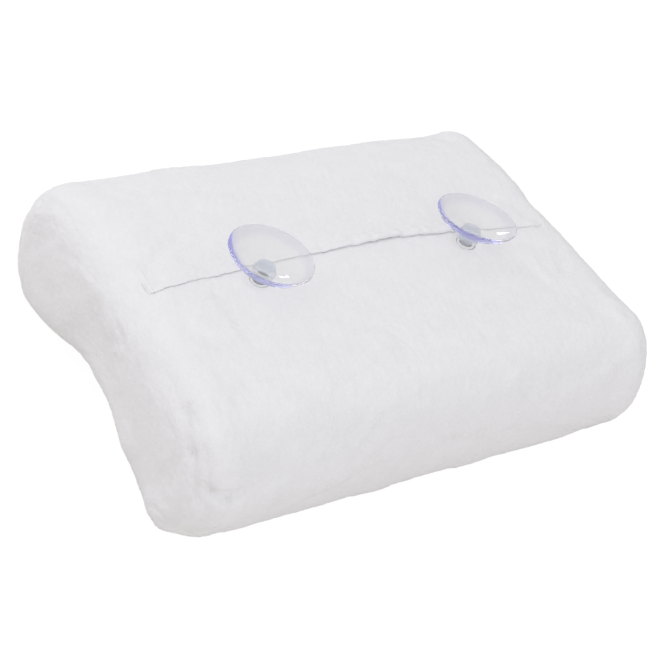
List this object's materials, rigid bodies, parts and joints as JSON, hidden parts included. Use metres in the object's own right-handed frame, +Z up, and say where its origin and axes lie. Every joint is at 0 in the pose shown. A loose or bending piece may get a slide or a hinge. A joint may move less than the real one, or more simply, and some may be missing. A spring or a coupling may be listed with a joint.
{
  "type": "bath pillow",
  "caption": "Contoured bath pillow: a foam core in a white towelling cover with an overlapped back closure, held to a bath by clear suction cups that tilt and spin in eyelets.",
  "frame": {"origin": "on the surface that the pillow's two lobes lie on, under the middle of its box", "axes": "+X along the pillow's length, +Y from the front lobe to the back lobe, +Z up out of the back panel towards the cups"},
  "size_m": [0.3, 0.2332, 0.1189],
  "materials": {
    "towelling": "short white towelling pile",
    "memory_foam": "open-cell slow foam",
    "closure_tape": "white woven tape",
    "sewing_thread": "white overcast thread",
    "clear_vinyl": "clear soft vinyl, faint blue-violet"
  },
  "bodies": {
    "cushion": {"foam_core": "memory_foam", "contour_panel": "towelling", "lower_back_panel": "towelling", "upper_back_panel": "towelling", "left_end_panel": "towelling", "right_end_panel": "towelling", "hook_tape": "closure_tape", "left_bar_tack": "sewing_thread", "right_bar_tack": "sewing_thread", "left_eyelet_backing": "closure_tape", "right_eyelet_backing": "closure_tape"},
    "flap": {"closure_flap": "towelling", "loop_tape": "closure_tape"},
    "left_eyelet_ring": {"left_eyelet": "sewing_thread"},
    "left_cup": {"left_suction_cup": "clear_vinyl"},
    "right_eyelet_ring": {"right_eyelet": "sewing_thread"},
    "right_cup": {"right_suction_cup": "clear_vinyl"}
  },
  "joints": [
    {"name": "flap_lift", "type": "hinge", "parent": "cushion", "child": "flap", "pos_m": [0, 0.01694, 0.09746], "axis": [-1, 0, 0], "range_deg": [0, 8]},
    {"name": "left_cup_tilt", "type": "hinge", "parent": "cushion", "child": "left_eyelet_ring", "pos_m": [-0.069, -0.00991, 0.09582], "axis": [0, 1, 0], "range_deg": [-21, 8]},
    {"name": "left_cup_spin", "type": "hinge", "parent": "left_eyelet_ring", "child": "left_cup", "pos_m": [-0.069, -0.00991, 0.09582], "axis": [0.1132, -0.0173, 0.9934], "continuous": true},
    {"name": "right_cup_tilt", "type": "hinge", "parent": "cushion", "child": "right_eyelet_ring", "pos_m": [0.069, -0.00991, 0.09582], "axis": [0, 1, 0], "range_deg": [-21, 8]},
    {"name": "right_cup_spin", "type": "hinge", "parent": "right_eyelet_ring", "child": "right_cup", "pos_m": [0.069, -0.00991, 0.09582], "axis": [0.1214, 0.0865, 0.9888], "continuous": true}
  ]
}
